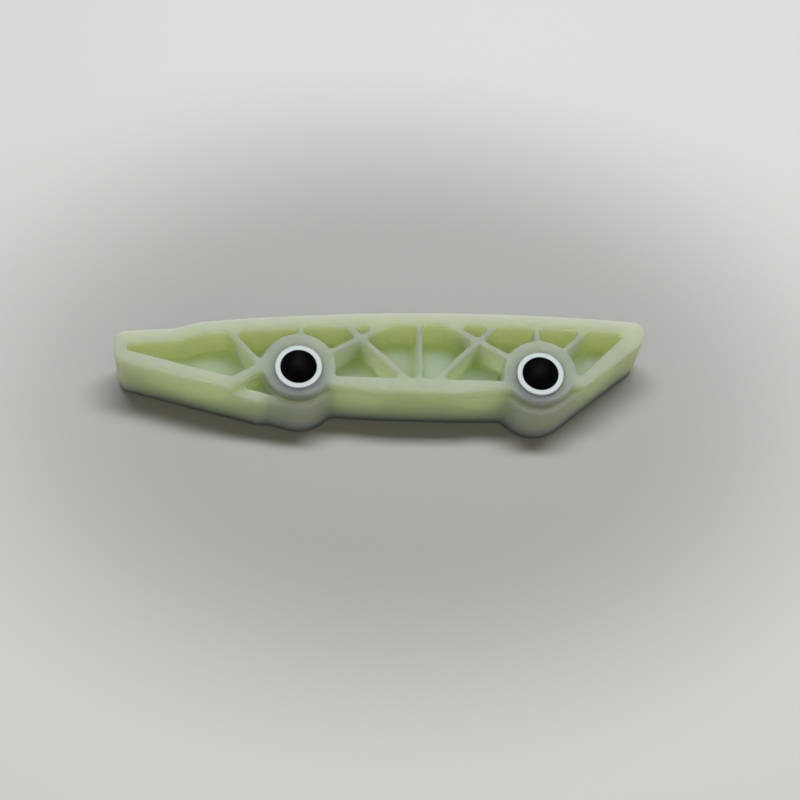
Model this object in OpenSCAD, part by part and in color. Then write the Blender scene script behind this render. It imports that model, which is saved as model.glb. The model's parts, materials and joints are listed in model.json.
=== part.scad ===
// Timing chain guide: one moulded nylon rail with two steel bolt sleeves.
// The bolts run along Z, the chain runs over the curved face on the +Y side,
// and the flat back at z = 0 lies on the engine block.

/* [Bolts and sleeves] */
// Distance between the two bolt axes
bolt_spacing = 57; // [54:0.5:62]
// Bore of each sleeve, clearance for the bolt
bore_d = 8.4; // [8:0.1:9]
// Wall of each sleeve
sleeve_wall = 1.4; // [1:0.1:1.6]
// Height of each sleeve above the nylon, so that the bolt clamps steel
sleeve_proud = 0.15; // [0:0.05:0.4]
// Chamfer on the end edges of each sleeve
sleeve_chamfer = 0.25; // [0.1:0.05:0.4]
// Gap between a sleeve and its seat, nil for a press fit
seat_gap = 0; // [0:0.01:0.05]

/* [Rail] */
// Depth of the nylon along the bolts
rail_depth = 18; // [15:0.5:22]
// Radius of the chain face
chain_r = 561; // [400:1:800]
// Place of the crown of the chain face along the rail, from the left bolt
crown_x = 47; // [40:0.5:54]
// Height of the crown over the line through the bolts
crown_y = 15.6; // [14.5:0.1:17]
// Wall behind the chain face
chain_wall = 3.4; // [2.6:0.1:3.8]
// Reach of the left end beyond the left bolt
left_reach = 43.3; // [40:0.1:46]
// Reach of the right end beyond the right bolt
right_reach = 25.5; // [24:0.1:27]
// Roundness of the corners at the two ends, seen along the bolts
end_corner = 2.8; // [1.5:0.1:3]

/* [Lead-in tail] */
// Where the chain face starts to step down into the tail, from the left bolt
tail_start = 23.9; // [21:0.1:25]
// Length of the step along the rail
tail_step_run = 4.9; // [4:0.1:6]
// Slope of the step
tail_step_angle = 20; // [12:0.5:24]
// Slope of the tail beyond the step
tail_angle = 5.5; // [3:0.5:8]
// Roundness of the step
tail_step_corner = 4; // [1:0.5:8]
// Wall at the left end
tail_end_wall = 3.2; // [2.4:0.1:3.6]

/* [Front walls] */
// Fall of the front wall left of the left bolt
toe_angle = 14; // [12:0.5:16]
// Distance of that wall's face from the left bolt axis
toe_reach = 9.7; // [9.3:0.1:10.2]
// Thickness of that wall
toe_wall = 3.1; // [2.4:0.1:3.4]
// Distance of the middle wall's face from the line through the bolts
middle_reach = 5.45; // [5:0.05:6]
// Thickness of the middle wall
middle_wall = 3.4; // [2.8:0.1:3.8]
// Rise of the slanted wall right of the right bolt
slant_angle = 40; // [37:0.5:43]
// Thickness of that wall at the right tip
slant_wall = 4.2; // [3:0.1:4.6]

/* [Bosses] */
// Nylon wall round each sleeve, on the side of the pockets
boss_wall = 3.1; // [2.5:0.1:3.3]
// Distance by which the front of each boss is set back above the shoulder
nose_setback = 1.4; // [0.8:0.1:1.6]
// Nylon wall round each sleeve in the lobe below the shoulder
lobe_wall = 3.4; // [3.1:0.1:3.7]
// Depth of the shoulder below the rim
shoulder_drop = 3.3; // [2.5:0.1:5]
// Round on the outer edge of the shoulder, along the bolts
shoulder_round = 1; // [0.5:0.1:2]
// Fillet between the shoulder and the boss, along the bolts
shoulder_fillet = 0.5; // [0.3:0.1:1]
// Blend between a lobe and the middle wall
lobe_blend = 3.5; // [2:0.1:5]
// Distance from the line through the bolts at which the rim joins the right boss
right_rim_reach = 2.7; // [2.2:0.1:3.2]

/* [Ribs and pockets] */
// Thickness of the ribs at the rim
rib_t = 1.3; // [1:0.05:1.6]
// Nylon left under the pockets
floor_t = 8.7; // [6:0.1:10]
// Lean of the upright rib on each boss towards the middle
upright_lean = 2; // [0:0.5:4]
// Slope of the rib from each boss to the crossing beside it
cross_angle = 29.5; // [27:0.5:32]
// Distance of each crossing from the bolt beside it, along the rail
cross_x = 14.5; // [13.5:0.1:15.5]
// Slope of the brace through the left crossing
left_brace_angle = 43; // [41:0.5:46]
// Slope of the brace through the right crossing and of the tip rib
brace_angle = 46; // [43:0.5:49]
// Slope of the brace over the toe pocket
toe_brace_angle = 48.5; // [45:0.5:52]
// Distance of that brace from the left bolt axis
toe_brace_reach = 6.4; // [5.8:0.1:7]
// Slope of the heel, where the front wall turns in to the left boss
heel_angle = 33; // [29:0.5:37]
// Distance of the heel from the left bolt axis
heel_reach = 4.9; // [4.5:0.1:5.3]
// Thickness of the heel
heel_t = 2.1; // [1.7:0.05:2.5]
// Depth below the shoulder of the recess between the heel and the left boss
recess_drop = 3; // [1.5:0.1:5]
// Width of the ridge in front of that recess
ridge_t = 2.4; // [2:0.1:3]
// Draft of the pocket walls
draft = 0.75; // [0.25:0.25:1.5]

/* [Edges] */
// Round on the outer rim
rim_round = 0.6; // [0.4:0.05:0.8]
// Round on the pocket edges
rib_round = 0.4; // [0.2:0.05:0.45]
// Round at the foot of the pocket walls
floor_round = 1; // [0.5:0.1:1.2]
// Round at the foot of the walls in the narrow pockets
narrow_round = 0.45; // [0.3:0.05:0.5]
// Round on the edge of the flat back
back_round = 0.4; // [0.2:0.05:0.6]
// Corner of a pocket, seen along the bolts
pocket_corner = 0.8; // [0.5:0.05:1]

/* [Hidden] */
$fn = 96;
// Overshoot of a cutter past the face that it cuts
over = 1;
// Shortest run of a corner, which keeps the points of a ring apart
min_run = 0.04;
// Straight pieces in a corner, round a boss and along the chain face
corner_pieces = 3;
boss_pieces = 12;
chain_pieces = 9;
// Steps in degrees at which a wide round and a narrow one are drawn
wide_step = 30;
narrow_step = 45;

left_bolt = [0, 0];
right_bolt = [bolt_spacing, 0];
middle_x = bolt_spacing / 2;
right_x = bolt_spacing + right_reach;
sleeve_r = bore_d / 2 + sleeve_wall;
boss_r = sleeve_r + seat_gap + boss_wall;
lobe_r = sleeve_r + seat_gap + lobe_wall;
shoulder_z = rail_depth - shoulder_drop;

// Lines in plan: a point and a heading, with the nylon or the pocket on the left
function unit(a) = [cos(a), sin(a)];
function left_of(u) = [-u.y, u.x];
function line(p, a, shift = 0) = [p + shift * left_of(unit(a)), a];
function meet(s, t) =
    s[0] + unit(s[1]) * cross(t[0] - s[0], unit(t[1])) / cross(unit(s[1]), unit(t[1]));
function at_x(s, x) = meet(s, [[x, 0], 90]);
function at_y(s, y) = meet(s, [[0, y], 0]);
// Tangent of a boss or lobe at angle a, run anticlockwise round it or clockwise past it
function around(c, r, a) = [c + r * unit(a), a + 90];
function past(c, r, a) = [c + r * unit(a), a - 90];

// A plan is a ring of corners, each a point, a radius and its number of straight pieces,
// which is nil for a plain point
function bend(p, r, pieces = corner_pieces) = [p, r, pieces];
function along(p, q) = (q - p) / norm(q - p);
function drawn_in(a, p, b, d) =
    let (m = left_of(along(a, p)), n = left_of(along(p, b)))
    p + d * (m + n) / (1 + m * n);
function turn_at(a, p, b) =
    let (u = along(a, p), v = along(p, b))
    atan2(cross(u, v), u * v);
// Distance from a corner to where its round starts
function round_run(r, turn, d) = max((r - sign(turn) * d) * tan(abs(turn) / 2), min_run);
function rounded(a, p, b, run, turn, pieces) =
    let (u = along(a, p), v = along(p, b), w = cos(turn / 2))
    pieces == 0 ? [p] : [for (n = [0 : pieces])
        let (t = n / pieces, s = 1 - t, i = s * s, j = 2 * w * s * t, k = t * t)
        p + run * (k * v - i * u) / (i + j + k)];
// Points of a plan drawn in by d, with its corners rounded as far as its sides are long enough
function ring(plan, d) =
    let (
        n = len(plan),
        before = [for (i = [0 : n - 1]) (i + n - 1) % n],
        after = [for (i = [0 : n - 1]) (i + 1) % n],
        p = [for (i = [0 : n - 1]) drawn_in(plan[before[i]][0], plan[i][0], plan[after[i]][0], d)],
        turn = [for (i = [0 : n - 1]) turn_at(p[before[i]], p[i], p[after[i]])],
        run = [for (i = [0 : n - 1]) round_run(plan[i][1], turn[i], d)],
        room = [for (i = [0 : n - 1]) norm(p[after[i]] - p[i]) - min_run],
        fit = [for (i = [0 : n - 1]) min(1, room[i] / (run[i] + run[after[i]]))]
    )
    [for (i = [0 : n - 1])
        let (fitted = run[i] * min(fit[before[i]], fit[i]))
        each rounded(p[before[i]], p[i], p[after[i]], fitted, turn[i], plan[i][2])];

// Solid through rings with equal numbers of points, each given as a height and its points
module loft(rings) {
    n = len(rings[0][1]);
    last = len(rings) - 1;
    sides = [for (k = [0 : last - 1]) for (j = [0 : n - 1]) [k * n + j, k * n + (j + 1) % n]];
    polyhedron(
        points = [for (r = rings) for (p = r[1]) [p.x, p.y, r[0]]],
        faces = concat(
            [[for (j = [0 : n - 1]) j]],
            [for (s = sides) [s[0], s[1] + n, s[1]]],
            [for (s = sides) [s[0], s[0] + n, s[1] + n]],
            [[for (j = [n - 1 : -1 : 0]) last * n + j]]
        )
    );
}

// Chain face and the back of the wall behind it
function chain_point(x, r) =
    [x, crown_y - chain_r + sqrt(r * r - (x - crown_x) * (x - crown_x))];
function chain_tangent(x, r) = [chain_point(x, r), 180 - asin((x - crown_x) / r)];
function chain_back(x) = chain_tangent(x, chain_r - chain_wall);

// Tail and ends
step_top = chain_point(-tail_start, chain_r);
step_face = [step_top, 180 + tail_step_angle];
step_foot = at_x(step_face, -tail_start - tail_step_run);
tail_face = [step_foot, 180 + tail_angle];
left_end = [[-left_reach, 0], 270];
right_end = [[right_x, 0], 90];

// Front faces and the backs of their walls
toe_face = line(left_bolt, -toe_angle, -toe_reach);
toe_back = line(left_bolt, -toe_angle, toe_wall - toe_reach);
middle_back = [[middle_x, middle_wall - middle_reach], 0];
slant_face = line(right_bolt, slant_angle, -lobe_r);
slant_tip = meet(chain_back(right_x), line(right_bolt, slant_angle, slant_wall - lobe_r));
slant_back = [slant_tip, brace_angle];

// Centre lines of the ribs
left_upright = [left_bolt, 90 - upright_lean];
right_upright = [right_bolt, 90 + upright_lean];
left_cross = [left_bolt, cross_angle];
right_cross = [right_bolt, 180 - cross_angle];
left_brace = [at_x(left_cross, cross_x), -left_brace_angle];
right_brace = [at_x(right_cross, bolt_spacing - cross_x), brace_angle];
middle_rib = [[middle_x, 0], 90];
tip_rib = [right_bolt, brace_angle];
toe_brace = line(left_bolt, 180 - toe_brace_angle, toe_brace_reach);
heel = line(left_bolt, heel_angle, heel_reach);

// Turn of the middle wall and its rim, this far from the middle, as they near the bosses
bow_x = 9;
wall_bow = 1.8;
rim_bow = 6.5;
bow_points = [for (x = [-bow_x, bow_x]) [middle_x + x, -middle_reach]];
// Angle below the line through the bolts where a lobe and a boss turn in to the middle
lobe_turn = 45;
boss_turn = 46;
// Angles where the left boss leaves the heel and the right boss reaches its rim
heel_turn = 206;
right_rim_turn = -34;
right_rim = [[bolt_spacing, -right_rim_reach], 0];
slant_turn = at_y(slant_face, -right_rim_reach);
// Step in the front wall where the heel ends and the left lobe begins
heel_step_x = -9.4;
heel_step_run = 2.4;
heel_step_corner = 1.2;
// Roundness of the corner where the front wall turns in to the heel
heel_corner = 2;

// Both outlines share the two ends and the chain face
ends_and_chain = concat(
    [
        bend(meet(slant_face, right_end), end_corner),
        bend(meet(right_end, chain_tangent(right_x, chain_r)), end_corner)
    ],
    [for (k = [1 : chain_pieces - 1])
        bend(chain_point(right_x - k * (right_x + tail_start) / chain_pieces, chain_r), 0, 0)],
    [
        bend(step_top, tail_step_corner),
        bend(step_foot, tail_step_corner),
        bend(meet(tail_face, left_end), end_corner, 2 * corner_pieces),
        bend(meet(left_end, toe_face), end_corner, 2 * corner_pieces)
    ]
);
// Below the shoulder, the front goes round a lobe at each boss
lobe_face = line(left_bolt, -toe_angle, -lobe_r);
lower_front = [
    bend(at_x(toe_face, heel_step_x), heel_step_corner),
    bend(at_x(lobe_face, heel_step_x + heel_step_run), heel_step_corner),
    bend(meet(lobe_face, around(left_bolt, lobe_r, -lobe_turn)), lobe_r, boss_pieces),
    bend(meet(around(left_bolt, lobe_r, -lobe_turn), [bow_points[0], -wall_bow]), lobe_blend),
    bend(bow_points[0], 0),
    bend(bow_points[1], 0),
    bend(meet([bow_points[1], wall_bow], around(right_bolt, lobe_r, 180 + lobe_turn)), lobe_blend),
    bend(meet(around(right_bolt, lobe_r, 180 + lobe_turn), slant_face), lobe_r, boss_pieces),
    bend(at_x(slant_face, slant_turn.x - slant_wall), 0),
    bend(slant_turn, 0)
];
// Above the shoulder, the rim turns in to meet the side of each boss
heel_face = line(heel[0], heel[1], -heel_t / 2);
rim_corner = 1.5;
rim_sweep = 6;
left_nose = left_bolt + [0, nose_setback];
right_nose = right_bolt + [0, nose_setback];
upper_front = [
    bend(meet(toe_face, heel_face), heel_corner),
    bend(meet(heel_face, around(left_nose, boss_r, heel_turn)), pocket_corner),
    bend(meet(around(left_nose, boss_r, heel_turn), around(left_nose, boss_r, -boss_turn)),
        boss_r, boss_pieces),
    bend(meet(around(left_nose, boss_r, -boss_turn), [bow_points[0], -rim_bow]), rim_corner),
    bend(bow_points[0], rim_sweep),
    bend(bow_points[1], rim_sweep),
    bend(meet([bow_points[1], rim_bow], around(right_nose, boss_r, 180 + boss_turn)), rim_corner),
    bend(meet(around(right_nose, boss_r, 180 + boss_turn), around(right_nose, boss_r, right_rim_turn)),
        boss_r, boss_pieces),
    bend(meet(around(right_nose, boss_r, right_rim_turn), right_rim), pocket_corner),
    bend(slant_turn, rim_corner)
];
lower_plan = concat(ends_and_chain, lower_front);
upper_plan = concat(ends_and_chain, upper_front);

// Shares of the way from the lower outline in to the upper one at which the ledge of the
// shoulder starts and ends, and the rise of the ledge between them
ledge_start = 0.35;
ledge_end = 0.85;
ledge_rise = 0.1;

// Rail before coring: the lower outline turns into the upper one over the shoulder
module rail_blank() {
    function outline(t, d) = (1 - t) * ring(lower_plan, d) + t * ring(upper_plan, d);
    back = [for (q = [90 : -narrow_step : 0])
        [back_round * (1 - sin(q)), outline(0, back_round * (1 - cos(q)))]];
    shoulder_edge = [for (q = [0 : wide_step : 90])
        [shoulder_z - shoulder_round * (1 - sin(q)), outline(ledge_start * (1 - cos(q)), 0)]];
    shoulder_foot = [for (q = [0 : narrow_step : 90])
        [shoulder_z + ledge_rise + shoulder_fillet * (1 - cos(q)),
            outline(1 - (1 - ledge_end) * (1 - sin(q)), 0)]];
    rim = [for (q = [0 : wide_step : 90])
        [rail_depth - rim_round * (1 - sin(q)), outline(1, rim_round * (1 - cos(q)))]];
    function past_end(z, end) = [[z, end[1]]];
    // The loft runs past both flat faces, which are then cut true
    intersection() {
        loft(concat(
            past_end(-over, back[0]),
            back,
            shoulder_edge,
            shoulder_foot,
            rim,
            past_end(rail_depth + over, rim[len(rim) - 1])
        ));
        translate([-left_reach - over, -lobe_r - over, 0])
        cube([left_reach + right_x + 2 * over, lobe_r + crown_y + 2 * over, rail_depth]);
    }
}

// A pocket is a ring of sides, each a line and the radius of the corner at its end
function side(s, r = pocket_corner) = [s, r];
function left_side(rib, t = rib_t) = side(line(rib[0], rib[1], t / 2));
function right_side(rib, t = rib_t) = side(line(rib[0], rib[1] + 180, t / 2));
function boss_side(c, a, b) = [side(past(c, boss_r, a), boss_r), side(past(c, boss_r, b))];
function pocket_plan(sides) =
    [for (i = [0 : len(sides) - 1])
        let (s = sides[i], next = sides[(i + 1) % len(sides)])
        bend(meet(s[0], next[0]), s[1], s[1] == boss_r ? 2 * corner_pieces : corner_pieces)];
// Its walls lean in towards the floor, and its edges are rounded above and below
module pocket(sides, foot = floor_round, low = floor_t, high = rail_depth) {
    plan = pocket_plan(sides);
    function lean(z) = (high - z) * tan(draft);
    function foot_ring(z, q) = [z, ring(plan, lean(z) + foot * (1 - cos(q)))];
    function edge_ring(z, q) = [z, ring(plan, lean(z) - rib_round * (1 - cos(q)))];
    loft(concat(
        [for (q = [90 : -wide_step : 0]) foot_ring(low + foot * (1 - sin(q)), q)],
        [for (q = [0 : narrow_step : 90]) edge_ring(high - rib_round * (1 - sin(q)), q)],
        [[high + over, ring(plan, -rib_round)]]
    ));
}

// Clear angles between the boss's side in a pocket and the rib or the middle wall beside it
rib_clear = 10;
wall_clear = 7;
// Angle of a boss's side where the middle wall's back meets it
middle_foot = asin(middle_back[0].y / boss_r) + wall_clear;
// Angles of the left boss's side under the toe brace and of the right one's under the slanted wall
toe_brace_foot = 152;
slant_foot = 8;
// Foot of the pockets beside an upright rib, limited by the gap between the boss and the chain wall
gap_share = 0.3;
function upright_foot(bolt) =
    min(floor_round, gap_share * (chain_back(bolt.x)[0].y - bolt.y - boss_r));
module pockets() {
    // Toe pocket, left of the left boss
    end_back = line(left_end[0], left_end[1], tail_end_wall);
    pocket([
        side(toe_back, heel_corner),
        left_side(heel, heel_t),
        left_side(toe_brace),
        side(chain_back(-tail_start), tail_step_corner),
        side(line(step_face[0], step_face[1], chain_wall), tail_step_corner),
        side(line(tail_face[0], tail_face[1], chain_wall), narrow_round),
        side(end_back, narrow_round)
    ], narrow_round);
    // From the toe brace to the left upright
    pocket(concat(
        [right_side(toe_brace)],
        boss_side(left_bolt, toe_brace_foot, left_upright[1] + rib_clear),
        [left_side(left_upright), side(chain_back(-boss_r))]
    ), upright_foot(left_bolt));
    // From the left upright to the left crossing
    pocket(concat(
        [right_side(left_upright)],
        boss_side(left_bolt, left_upright[1] - rib_clear, cross_angle + rib_clear),
        [left_side(left_cross), right_side(left_brace), side(chain_back(cross_x / 2))]
    ), upright_foot(left_bolt));
    // Above the left crossing
    pocket([left_side(left_cross), side(chain_back(cross_x)), left_side(left_brace)], narrow_round);
    // Below the left crossing
    pocket(concat(
        [side(middle_back), right_side(left_brace), right_side(left_cross)],
        boss_side(left_bolt, cross_angle - rib_clear, middle_foot)
    ));
    // Left and right of the middle rib
    pocket([
        side(middle_back),
        left_side(middle_rib),
        side(chain_back(middle_x - bow_x)),
        right_side(left_cross),
        left_side(left_brace)
    ]);
    pocket([
        side(middle_back),
        left_side(right_brace),
        left_side(right_cross),
        side(chain_back(middle_x + bow_x)),
        right_side(middle_rib)
    ]);
    // Below the right crossing
    pocket(concat(
        [side(middle_back)],
        boss_side(right_bolt, 180 - middle_foot, 180 - cross_angle + rib_clear),
        [left_side(right_cross), right_side(right_brace)]
    ));
    // Above the right crossing
    pocket([
        right_side(right_cross),
        left_side(right_brace),
        side(chain_back(bolt_spacing - cross_x))
    ], narrow_round);
    // From the right crossing to the right upright
    pocket(concat(
        [right_side(right_cross)],
        boss_side(right_bolt, 180 - cross_angle - rib_clear, right_upright[1] + rib_clear),
        [
            left_side(right_upright),
            side(chain_back(bolt_spacing - cross_x / 2)),
            right_side(right_brace)
        ]
    ), upright_foot(right_bolt));
    // From the right upright to the tip rib
    pocket(concat(
        [right_side(right_upright)],
        boss_side(right_bolt, right_upright[1] - rib_clear, brace_angle + rib_clear),
        [left_side(tip_rib), side(chain_back(bolt_spacing + boss_r / 2))]
    ), upright_foot(right_bolt));
    // Tip pocket, right of the tip rib
    pocket(concat(
        [right_side(tip_rib)],
        boss_side(right_bolt, brace_angle - rib_clear, slant_foot),
        [side(slant_back), side(chain_back(right_x - right_reach / 3))]
    ));
}

// Ledge left between the recess at the heel and the walls above it
recess_clear = rib_round + min_run;
// Angle of the left boss's side where the ridge in front of the recess meets it
ridge_foot = 232;
// Recess in the shoulder, between the heel, the left boss and the ridge along the front wall
module heel_recess() {
    recess_r = boss_r + recess_clear;
    pocket([
        side(line(left_bolt, -toe_angle, ridge_t - toe_reach), narrow_round),
        side(past(left_nose, recess_r, ridge_foot), boss_r),
        side(past(left_nose, recess_r, heel_turn + rib_clear), narrow_round),
        side(line(heel_face[0], heel_face[1] + 180, recess_clear), narrow_round)
    ], narrow_round, shoulder_z - recess_drop, shoulder_z + ledge_rise);
}

module guide_body() {
    color("#B9C19A")
    difference() {
        rail_blank();
        pockets();
        heel_recess();
        for (bolt = [left_bolt, right_bolt])
            translate([bolt.x, bolt.y, -over])
            cylinder(r = sleeve_r + seat_gap, h = rail_depth + 2 * over);
    }
}

// Turned sleeve, chamfered outside at both ends and at the mouth of the bore
module sleeve(bolt) {
    top = rail_depth + sleeve_proud;
    bore_r = bore_d / 2;
    c = sleeve_chamfer;
    color("#C9CDD0")
    translate([bolt.x, bolt.y, 0])
    rotate_extrude()
    polygon([
        [bore_r, 0],
        [sleeve_r - c, 0],
        [sleeve_r, c],
        [sleeve_r, top - c],
        [sleeve_r - c, top],
        [bore_r + c, top],
        [bore_r, top - c]
    ]);
}
module left_sleeve() { sleeve(left_bolt); }
module right_sleeve() { sleeve(right_bolt); }

guide_body();
left_sleeve();
right_sleeve();
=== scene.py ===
# %% [markdown]
# # A timing chain guide in Blender
# The part is a rail of natural nylon with two steel bolt sleeves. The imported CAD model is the
# fixed frame: it gives every size and place, and this lesson adds the finish, the light and the
# camera. All lengths are in metres, and `MM` turns millimetres into them.

# %% Load the frame
import json
import math

import bmesh
import bpy
from mathutils import Matrix, Vector

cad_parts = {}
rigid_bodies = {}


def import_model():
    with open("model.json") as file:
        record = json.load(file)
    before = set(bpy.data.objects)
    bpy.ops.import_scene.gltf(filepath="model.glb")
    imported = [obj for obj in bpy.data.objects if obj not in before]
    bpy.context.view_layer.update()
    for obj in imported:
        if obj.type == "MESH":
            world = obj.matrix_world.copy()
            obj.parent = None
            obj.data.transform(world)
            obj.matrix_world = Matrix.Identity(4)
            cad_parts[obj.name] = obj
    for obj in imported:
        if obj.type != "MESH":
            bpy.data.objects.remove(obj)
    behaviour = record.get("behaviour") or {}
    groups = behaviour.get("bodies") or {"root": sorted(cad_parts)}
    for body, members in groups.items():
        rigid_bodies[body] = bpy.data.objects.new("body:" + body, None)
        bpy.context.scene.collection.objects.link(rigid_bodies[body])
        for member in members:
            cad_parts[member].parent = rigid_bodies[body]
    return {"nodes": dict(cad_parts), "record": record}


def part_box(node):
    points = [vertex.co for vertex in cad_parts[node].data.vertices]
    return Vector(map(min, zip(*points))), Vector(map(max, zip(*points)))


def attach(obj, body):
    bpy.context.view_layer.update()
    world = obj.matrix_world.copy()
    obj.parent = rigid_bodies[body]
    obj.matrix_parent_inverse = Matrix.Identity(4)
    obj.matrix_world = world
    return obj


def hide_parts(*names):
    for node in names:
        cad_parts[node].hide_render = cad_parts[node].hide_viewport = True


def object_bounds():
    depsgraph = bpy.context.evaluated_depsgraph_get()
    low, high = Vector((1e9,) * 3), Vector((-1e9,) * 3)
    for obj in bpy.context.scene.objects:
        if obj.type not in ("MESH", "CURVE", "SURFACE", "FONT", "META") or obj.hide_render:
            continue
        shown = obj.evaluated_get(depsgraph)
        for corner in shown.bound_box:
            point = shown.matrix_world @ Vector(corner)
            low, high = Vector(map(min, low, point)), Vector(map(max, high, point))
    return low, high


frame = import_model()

MM = 0.001
cad_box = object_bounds()
print("CAD box in mm:", [[round(c / MM, 1) for c in corner] for corner in cad_box])


# %% [markdown]
# ## Three helpers
# A colour is easiest to read as the sRGB hex value that a picture editor shows, but shaders work
# in linear light, so one function converts it. A second function adds any node to a tree, sets its
# properties and fills or links its inputs, which keeps each material to a few readable lines. A
# third starts a material with an empty tree.

# %% Colour and node helpers
def linear(hex_colour):
    channels = [int(hex_colour[i:i + 2], 16) / 255 for i in (1, 3, 5)]
    return [c / 12.92 if c <= 0.04045 else ((c + 0.055) / 1.055) ** 2.4 for c in channels] + [1]


def node(tree, kind, inputs=None, **settings):
    made = tree.nodes.new(kind)
    for name, value in settings.items():
        setattr(made, name, value)
    for name, value in (inputs or {}).items():
        if isinstance(value, bpy.types.NodeSocket):
            tree.links.new(value, made.inputs[name])
        else:
            made.inputs[name].default_value = value
    return made


# Places of the colour sockets on a Mix node, whose names repeat
FACTOR, COLOUR_A, COLOUR_B, MIXED = 0, 6, 7, 2


def new_material(name):
    material = bpy.data.materials.new(name)
    material.use_nodes = True
    material.node_tree.nodes.clear()
    return material, material.node_tree


print("helpers ready; mid grey in linear light:", round(linear("#808080")[0], 3))


# %% [markdown]
# ## Natural nylon
# Unpigmented nylon is milky: light enters it, wanders on mostly forwards and comes out centimetres
# away. Red and green travel further than blue, so faces that get light straight from above look
# pale grey-green, while faces in shade glow yellow-green with the light that came through the
# plastic. Painting that by hand would be wrong from other sides, so the shader scatters light
# below the surface. The mould was spark-eroded, which leaves a fine grain and a nearly matt skin.

# %% Nylon material
CLOUD_SIZE = 9 * MM
# Real spark grain is under 0.1 mm wide; it is drawn at 0.5 mm, the finest that shows here
GRAIN_SIZE = 0.5 * MM
GRAIN_HEIGHT = 0.03 * MM
WAVE_SIZE = 5 * MM
WAVE_HEIGHT = 0.15 * MM
# About the mean way of red and green light between two turns in the plastic
LIGHT_REACH = 45 * MM
REACH_BY_COLOUR = (0.95, 0.92, 0.5)
NYLON_IOR = 1.53


def moulded_nylon():
    material, tree = new_material("natural_nylon_moulded")
    place = node(tree, "ShaderNodeTexCoord").outputs["Object"]
    clouds = node(tree, "ShaderNodeTexNoise", {
        "Vector": place, "Scale": 1 / CLOUD_SIZE, "Detail": 2})
    milk = node(tree, "ShaderNodeMix", {
        FACTOR: clouds.outputs["Fac"], COLOUR_A: linear("#ADBF98"), COLOUR_B: linear("#B6C8A1")},
        data_type="RGBA")
    grain = node(tree, "ShaderNodeTexNoise", {
        "Vector": place, "Scale": 1 / GRAIN_SIZE, "Detail": 3})
    waves = node(tree, "ShaderNodeTexNoise", {
        "Vector": place, "Scale": 1 / WAVE_SIZE, "Detail": 1})
    sink = node(tree, "ShaderNodeBump", {
        "Height": waves.outputs["Fac"], "Strength": 0.25, "Distance": WAVE_HEIGHT})
    bump = node(tree, "ShaderNodeBump", {
        "Height": grain.outputs["Fac"], "Strength": 0.2, "Distance": GRAIN_HEIGHT,
        "Normal": sink.outputs["Normal"]})
    skin = node(tree, "ShaderNodeBsdfPrincipled", {
        "Base Color": milk.outputs[MIXED], "Roughness": 0.8, "IOR": NYLON_IOR,
        "Subsurface Weight": 1.0, "Subsurface Radius": REACH_BY_COLOUR,
        "Subsurface Scale": LIGHT_REACH, "Subsurface Anisotropy": 0.85,
        "Normal": bump.outputs["Normal"]})
    node(tree, "ShaderNodeOutputMaterial", {"Surface": skin.outputs["BSDF"]})
    return material


nylon = moulded_nylon()
print("made", nylon.name, "with", len(nylon.node_tree.nodes), "nodes")


# %% [markdown]
# ## The moulded body
# The CAD solid already has the true outline, ribs, pockets and rounded edges. It comes as loose
# triangles, which would shade as flat facets, so a copy is welded into one skin and shaded
# smooth. The triangles of some pocket floors fold back under the skin, where scattered light would
# stop at them, so each floor is merged into one flat face and its tiny corner rounds into points.
# Area-weighted normals keep the flat rims flat and let the small rounds roll the light.

# %% Weld and smooth a copy of the body
WELD = 0.002 * MM
# Points of a floor's corner that are nearer than this become one
CORNER_ROUND = 0.12 * MM
SMOOTH_ANGLE = math.radians(56)
FLAT_FACE_WEIGHT = 80


def is_level(face):
    heights = [v.co.z for v in face.verts]
    return max(heights) - min(heights) < WELD


def pocket_floors(form):
    seen = set()
    for start in form.faces:
        if start in seen or not is_level(start):
            continue
        seen.add(start)
        patch = [start]
        for face in patch:  # the patch grows while it is walked
            for other in (f for edge in face.edges for f in edge.link_faces):
                if other not in seen and is_level(other):
                    seen.add(other)
                    patch.append(other)
        points = {v for face in patch for v in face.verts}
        edges = {e for face in patch for e in face.edges}
        has_no_hole = len(points) - len(edges) + len(patch) == 1
        if has_no_hole and len(patch) > 1:
            yield patch


def welded_copy(node_name, piece_name):
    form = bmesh.new()
    form.from_mesh(frame["nodes"][node_name].data)
    bmesh.ops.remove_doubles(form, verts=form.verts, dist=WELD)
    bmesh.ops.dissolve_degenerate(form, edges=form.edges, dist=WELD)
    floors = []
    for patch in list(pocket_floors(form)):
        floors += bmesh.ops.dissolve_faces(form, faces=patch)["region"]
    corners = list(dict.fromkeys(v for floor in floors for v in floor.verts))
    bmesh.ops.remove_doubles(form, verts=corners, dist=CORNER_ROUND)
    print("merged", len(floors), "floors with", len(corners), "corner points")
    mesh = bpy.data.meshes.new(piece_name)
    form.to_mesh(mesh)
    form.free()
    for name in ("custom_normal", "sharp_edge", "sharp_face"):
        if name in mesh.attributes:
            mesh.attributes.remove(mesh.attributes[name])
    mesh.shade_smooth()
    mesh.set_sharp_from_angle(angle=SMOOTH_ANGLE)
    piece = bpy.data.objects.new(piece_name, mesh)
    bpy.context.scene.collection.objects.link(piece)
    return piece


body = welded_copy("guide_body", "moulded_guide_body")
body.data.materials.append(nylon)
weighted = body.modifiers.new("Flat faces stay flat", "WEIGHTED_NORMAL")
weighted.keep_sharp = True
weighted.weight = FLAT_FACE_WEIGHT
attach(body, "root")
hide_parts("guide_body")
print("body:", len(body.data.vertices), "points,", len(body.data.polygons), "faces")
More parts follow.
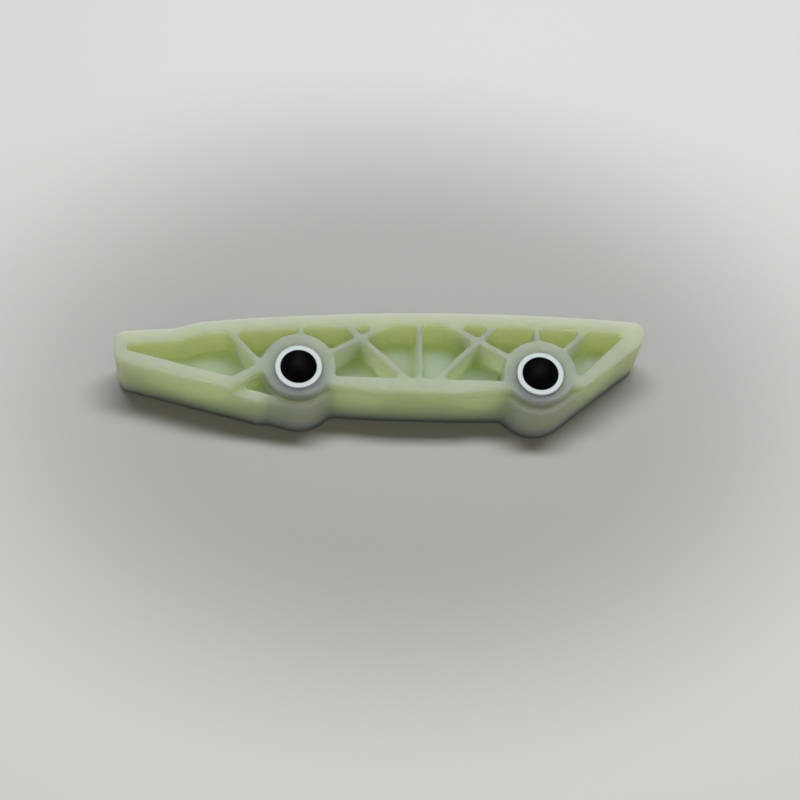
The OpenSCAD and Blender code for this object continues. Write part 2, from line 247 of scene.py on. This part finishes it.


# %% [markdown]
# ## Steel for the sleeves
# The sleeves are parted off from drawn steel tube. The cut ends are bright and carry the fine
# rings of the lathe tool. The bore is drawn near black, which is painted shade: little light gets
# down into it. So there are two materials: a bright metal whose rings follow the distance from the
# axis, and a near-black skin that paints the shade in the bore.

# %% Steel materials
# Tool rings are about 0.1 mm apart; they are drawn at 0.3 mm so that they show
RING_PITCH = 0.3 * MM
RING_HEIGHT = 0.01 * MM
SMEAR_SIZE = 2 * MM
# Size of the random tone patches in the bore's near-black painted shade
BORE_SHADE_PATCH = 1.5 * MM


def turned_steel():
    material, tree = new_material("turned_steel")
    radius = node(tree, "ShaderNodeAttribute", attribute_name="axis_distance").outputs["Fac"]
    turns = node(tree, "ShaderNodeMath", {
        0: radius, 1: 2 * math.pi / RING_PITCH}, operation="MULTIPLY")
    rings = node(tree, "ShaderNodeMath", {0: turns.outputs[0]}, operation="SINE")
    place = node(tree, "ShaderNodeTexCoord").outputs["Object"]
    smears = node(tree, "ShaderNodeTexNoise", {
        "Vector": place, "Scale": 1 / SMEAR_SIZE, "Detail": 3})
    tint = node(tree, "ShaderNodeMix", {
        FACTOR: smears.outputs["Fac"], COLOUR_A: linear("#B2BABC"), COLOUR_B: linear("#C0C7C8")},
        data_type="RGBA")
    rough = node(tree, "ShaderNodeMapRange", {
        "Value": smears.outputs["Fac"], "To Min": 0.64, "To Max": 0.74})
    bump = node(tree, "ShaderNodeBump", {
        "Height": rings.outputs[0], "Strength": 0.15, "Distance": RING_HEIGHT})
    metal = node(tree, "ShaderNodeBsdfPrincipled", {
        "Base Color": tint.outputs[MIXED], "Metallic": 1.0, "Roughness": rough.outputs["Result"],
        "Normal": bump.outputs["Normal"]})
    node(tree, "ShaderNodeOutputMaterial", {"Surface": metal.outputs["BSDF"]})
    return material


# The bore's near-black colour is painted shade, standing in for the dark deep inside the bore
def painted_bore_shade():
    material, tree = new_material("near_black_bore_shade")
    place = node(tree, "ShaderNodeTexCoord").outputs["Object"]
    patches = node(tree, "ShaderNodeTexNoise", {
        "Vector": place, "Scale": 1 / BORE_SHADE_PATCH, "Detail": 4})
    tint = node(tree, "ShaderNodeMix", {
        FACTOR: patches.outputs["Fac"], COLOUR_A: linear("#1A1C22"), COLOUR_B: linear("#2A2E38")},
        data_type="RGBA")
    bore_shade_bsdf = node(tree, "ShaderNodeBsdfPrincipled", {
        "Base Color": tint.outputs[MIXED], "Roughness": 0.3, "Specular IOR Level": 0.5})
    node(tree, "ShaderNodeOutputMaterial", {"Surface": bore_shade_bsdf.outputs["BSDF"]})
    return material


bright_steel = turned_steel()
bore_painted_shade = painted_bore_shade()
print("made", bright_steel.name, "and", bore_painted_shade.name)


# %% [markdown]
# ## The sleeves as a revolved section
# A turned sleeve is one small rectangle with rounded corners, carried once round the bolt axis.
# That is a rule, so Geometry Nodes make it: a rectangle is filleted and swept along a circle. The
# same tree makes both sleeves from named inputs, and it also stores each point's distance from
# the axis for the tool rings and gives the bore its near-black material, which paints the shade in it.

# %% Sleeve tree
# Gap to the seat, which shows as a fine dark line and keeps the two skins apart
SEAM = 0.03 * MM
EDGE_ROUND = 0.2 * MM
ROUND_STEPS = 5
STEPS_AROUND = 128
# A point's arm from the axis, along its normal, is minus the bore radius in the bore and more elsewhere
BORE_FACING = -3 * MM
SLEEVE_SMOOTH = math.radians(40)


def sleeve_tree():
    tree = bpy.data.node_groups.new("turned_sleeve", "GeometryNodeTree")
    for name in ("Bore Radius", "Outer Radius", "Length", "Edge Round"):
        tree.interface.new_socket(name, in_out="INPUT", socket_type="NodeSocketFloat")
    tree.interface.new_socket("Foot", in_out="INPUT", socket_type="NodeSocketVector")
    tree.interface.new_socket("Geometry", in_out="OUTPUT", socket_type="NodeSocketGeometry")
    given = node(tree, "NodeGroupInput").outputs
    wall = node(tree, "ShaderNodeMath", {0: given["Outer Radius"], 1: given["Bore Radius"]},
                operation="SUBTRACT").outputs[0]
    both = node(tree, "ShaderNodeMath", {0: given["Outer Radius"], 1: given["Bore Radius"]},
                operation="ADD").outputs[0]
    mean = node(tree, "ShaderNodeMath", {0: both, 1: 0.5}, operation="MULTIPLY").outputs[0]
    section = node(tree, "GeometryNodeCurvePrimitiveQuadrilateral", {
        "Width": wall, "Height": given["Length"]})
    rounded = node(tree, "GeometryNodeFilletCurve", {
        "Curve": section.outputs[0], "Radius": given["Edge Round"], "Count": ROUND_STEPS},
        mode="POLY")
    path = node(tree, "GeometryNodeCurvePrimitiveCircle", {
        "Radius": mean, "Resolution": STEPS_AROUND})
    swept = node(tree, "GeometryNodeCurveToMesh", {
        "Curve": path.outputs[0], "Profile Curve": rounded.outputs[0]}).outputs[0]
    half = node(tree, "ShaderNodeMath", {
        0: given["Length"], 1: 0.5}, operation="MULTIPLY").outputs[0]
    lift = node(tree, "ShaderNodeCombineXYZ", {"Z": half}).outputs[0]
    shift = node(tree, "ShaderNodeVectorMath", {
        0: given["Foot"], 1: lift}, operation="ADD").outputs[0]
    placed = node(tree, "GeometryNodeTransform", {
        "Geometry": swept, "Translation": shift}).outputs[0]
    spot = node(tree, "GeometryNodeInputPosition").outputs[0]
    arm = node(tree, "ShaderNodeVectorMath", {
        0: spot, 1: given["Foot"]}, operation="SUBTRACT").outputs[0]
    flat = node(tree, "ShaderNodeVectorMath", {
        0: arm, 1: (1, 1, 0)}, operation="MULTIPLY").outputs[0]
    reach = node(tree, "ShaderNodeVectorMath", {0: flat}, operation="LENGTH").outputs["Value"]
    marked = node(tree, "GeometryNodeStoreNamedAttribute", {
        "Geometry": placed, "Name": "axis_distance", "Value": reach},
        data_type="FLOAT", domain="POINT").outputs[0]
    real = node(tree, "GeometryNodeRealizeInstances", {"Geometry": marked}).outputs[0]
    facing = node(tree, "GeometryNodeInputNormal").outputs[0]
    outward = node(tree, "ShaderNodeVectorMath", {0: flat, 1: facing}, operation="DOT_PRODUCT")
    inward = node(tree, "ShaderNodeMath", {
        0: outward.outputs["Value"], 1: BORE_FACING}, operation="LESS_THAN").outputs[0]
    bright = node(tree, "GeometryNodeSetMaterial", {
        "Geometry": real, "Material": bright_steel}).outputs[0]
    # The bore's faces get the near-black material that paints their shade
    dark = node(tree, "GeometryNodeSetMaterial", {
        "Geometry": bright, "Selection": inward, "Material": bore_painted_shade}).outputs[0]
    node(tree, "NodeGroupOutput", {"Geometry": dark})
    return tree


sleeve_group = sleeve_tree()
print("sleeve tree:", len(sleeve_group.nodes), "nodes")


# %% Make both sleeves from the frame's sizes
def turned_sleeve(node_name, mount_name, piece_name):
    mount = next(m for m in frame["record"]["mounts"] if m["name"] == mount_name)
    low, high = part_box(node_name)
    foot = Vector(((low.x + high.x) / 2, (low.y + high.y) / 2, low.z))
    given = {
        "Bore Radius": mount["dims"]["r_mm"] * MM,
        "Outer Radius": (high.x - low.x) / 2 - SEAM,
        "Length": high.z - low.z,
        "Edge Round": EDGE_ROUND,
        "Foot": foot,
    }
    host = bpy.data.objects.new(piece_name, bpy.data.meshes.new(piece_name + "_seed"))
    bpy.context.scene.collection.objects.link(host)
    maker = host.modifiers.new("Turned sleeve", "NODES")
    maker.node_group = sleeve_group
    for socket in sleeve_group.interface.items_tree:
        if socket.in_out == "INPUT":
            maker[socket.identifier] = given[socket.name]
    seen = host.evaluated_get(bpy.context.evaluated_depsgraph_get())
    mesh = bpy.data.meshes.new_from_object(seen)
    mesh.name = piece_name
    host.modifiers.clear()
    host.data = mesh
    mesh.shade_smooth()
    mesh.set_sharp_from_angle(angle=SLEEVE_SMOOTH)
    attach(host, "root")
    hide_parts(node_name)
    return host


for side in ("left", "right"):
    sleeve = turned_sleeve(f"{side}_sleeve", f"{side}_bolt_bore", f"turned_{side}_sleeve")
    corners = [v.co for v in sleeve.data.vertices]
    spans = [max(c[i] for c in corners) - min(c[i] for c in corners) for i in range(3)]
    print(sleeve.name, [round(s / MM, 2) for s in spans], "mm,",
          [m.name for m in sleeve.data.materials])


# %% [markdown]
# ## Floor
# The part lies on a pale grey sheet. A plane under the part catches its shadow, and its colour runs
# from grey to near white along an ellipse: a painted brightening towards the edges, which the lamps
# do not make. The lamps are near, so the sheet would go dark far away. There it shows its plain
# colour to the camera and in reflections, which adds no light to the part.

# %% Floor
# Shares of the ellipse's reach between which the painted brightening turns the sheet from grey to near
# white
GREY_UP_TO = 0.55
WHITE_FROM = 1.45
# Distances from the part between which the plain colour takes over
FAR_START = 0.25
FAR_END = 0.6


def paper(inner, outer, reach):
    material, tree = new_material("pale_grey_sheet")
    place = node(tree, "ShaderNodeTexCoord").outputs["Object"]
    span = node(tree, "ShaderNodeMapping", {
        "Vector": place, "Scale": (1 / reach[0], 1 / reach[1], 0)}).outputs[0]
    away = node(tree, "ShaderNodeVectorMath", {0: span}, operation="LENGTH").outputs["Value"]
    share = node(tree, "ShaderNodeMapRange", {
        "Value": away, "From Min": GREY_UP_TO, "From Max": WHITE_FROM},
        interpolation_type="SMOOTHSTEP")
    # Painted brightening: the sheet's colour runs from grey to near white away from the part
    painted_brightening = node(tree, "ShaderNodeMix", {
        FACTOR: share.outputs["Result"], COLOUR_A: linear(inner), COLOUR_B: linear(outer)},
        data_type="RGBA")
    sheet = node(tree, "ShaderNodeBsdfPrincipled", {
        "Base Color": painted_brightening.outputs[MIXED], "Roughness": 0.9, "Specular IOR Level": 0.2})
    rays = node(tree, "ShaderNodeLightPath").outputs
    mirrored = node(tree, "ShaderNodeMath", {
        0: rays["Is Glossy Ray"], 1: rays["Is Transmission Ray"]}, operation="MAXIMUM").outputs[0]
    looked_at = node(tree, "ShaderNodeMath", {
        0: rays["Is Camera Ray"], 1: mirrored}, operation="MAXIMUM").outputs[0]
    distance = node(tree, "ShaderNodeVectorMath", {0: place}, operation="LENGTH").outputs["Value"]
    far = node(tree, "ShaderNodeMapRange", {
        "Value": distance, "From Min": FAR_START, "From Max": FAR_END},
        interpolation_type="SMOOTHSTEP")
    plain_share = node(tree, "ShaderNodeMath", {
        0: looked_at, 1: far.outputs["Result"]}, operation="MULTIPLY").outputs[0]
    plain = node(tree, "ShaderNodeEmission", {"Color": linear(outer), "Strength": 1.0}).outputs[0]
    surface = node(tree, "ShaderNodeMixShader", {
        0: plain_share, 1: sheet.outputs["BSDF"], 2: plain}).outputs[0]
    node(tree, "ShaderNodeOutputMaterial", {"Surface": surface})
    return material


FLOOR_HALF = 6
FLOOR_CENTRE = (25 * MM, 2 * MM)
SHEET_REACH = (98 * MM, 71 * MM)
floor_mesh = bpy.data.meshes.new("floor")
floor_mesh.from_pydata(
    [(x * FLOOR_HALF, y * FLOOR_HALF, 0) for x, y in ((-1, -1), (1, -1), (1, 1), (-1, 1))],
    [], [(0, 1, 2, 3)])
floor = bpy.data.objects.new("floor", floor_mesh)
floor.location = (*FLOOR_CENTRE, cad_box[0][2])
floor_mesh.materials.append(paper("#ABABAB", "#D8D8D8", SHEET_REACH))
bpy.context.scene.collection.objects.link(floor)
print("floor at z =", round(floor.location.z / MM, 2), "mm")


# %% [markdown]
# ## Light
# A strip lamp hangs high over the part and a little behind it, along the rail. It lights the rims
# and leaves the front walls in shade, so the glow that comes through the nylon shows. A strip draws
# the shadow in front with a crisp edge, because it is narrow that way, and lets it fade out at the
# two ends, which a square lamp would not. A wide, weak and warm lamp high in front stands for the
# light that comes back from the room, and a weak pale world fills the rest.

# %% Lamps and world
def soft_lamp(name, spot, aim, sides, watts, tint):
    lamp = bpy.data.lights.new(name, "AREA")
    lamp.shape = "RECTANGLE"
    lamp.size, lamp.size_y = sides
    lamp.energy = watts
    lamp.color = linear(tint)[:3]
    holder = bpy.data.objects.new(name, lamp)
    holder.location = spot
    holder.rotation_euler = (aim - spot).to_track_quat("-Z", "Y").to_euler()
    bpy.context.scene.collection.objects.link(holder)


FILL_AIM = Vector((25, 3, 9)) * MM
FILL_SPOT = FILL_AIM + Vector((0, -330, 560)) * MM
FILL_SIDES = (1.6, 0.5)
FILL_WATTS = 0.8
KEY_AIM = FILL_AIM + Vector((30, 0, 0)) * MM
KEY_SPOT = KEY_AIM + Vector((0, 180, 626)) * MM
KEY_SIDES = (0.5, 0.1)
KEY_WATTS = 4.05
ROOM_STRENGTH = 0.12
soft_lamp("strip_key", KEY_SPOT, KEY_AIM, KEY_SIDES, KEY_WATTS, "#FFFFFF")
soft_lamp("front_fill", FILL_SPOT, FILL_AIM, FILL_SIDES, FILL_WATTS, "#FFF4C0")
world = bpy.data.worlds.new("pale_room")
world.use_nodes = True
room = world.node_tree.nodes["Background"]
room.inputs["Color"].default_value = linear("#F2F4F6")
room.inputs["Strength"].default_value = ROOM_STRENGTH
bpy.context.scene.world = world
bpy.context.scene.view_settings.view_transform = "Standard"


# %% [markdown]
# ## Camera
# The camera stands in front of the part and looks steeply down. Its spot, the point it aims at
# and its roll were found by lining the bores and the rail's edges up with the picture.

# %% Camera
CAMERA_SPOT = Vector((1.39, -175.61, 384.71)) * MM
CAMERA_AIM = Vector((24.91, 0.38, 0)) * MM
CAMERA_ROLL = math.radians(8.56)
# Sensor width and focal length are in millimetres, as the camera takes them
SENSOR_WIDTH = 36
FOCAL_LENGTH = 78.02
NEAREST_SEEN = 10 * MM
lens = bpy.data.cameras.new("camera")
lens.sensor_width = SENSOR_WIDTH
lens.lens = FOCAL_LENGTH
lens.clip_start = NEAREST_SEEN
camera = bpy.data.objects.new("camera", lens)
turn = (CAMERA_AIM - CAMERA_SPOT).to_track_quat("-Z", "Y").to_matrix().to_4x4()
roll = Matrix.Rotation(CAMERA_ROLL, 4, "Z")
camera.matrix_world = Matrix.Translation(CAMERA_SPOT) @ turn @ roll
bpy.context.scene.collection.objects.link(camera)
bpy.context.scene.camera = camera
print("camera right:", [round(c, 4) for c in camera.matrix_world.col[0][:3]])
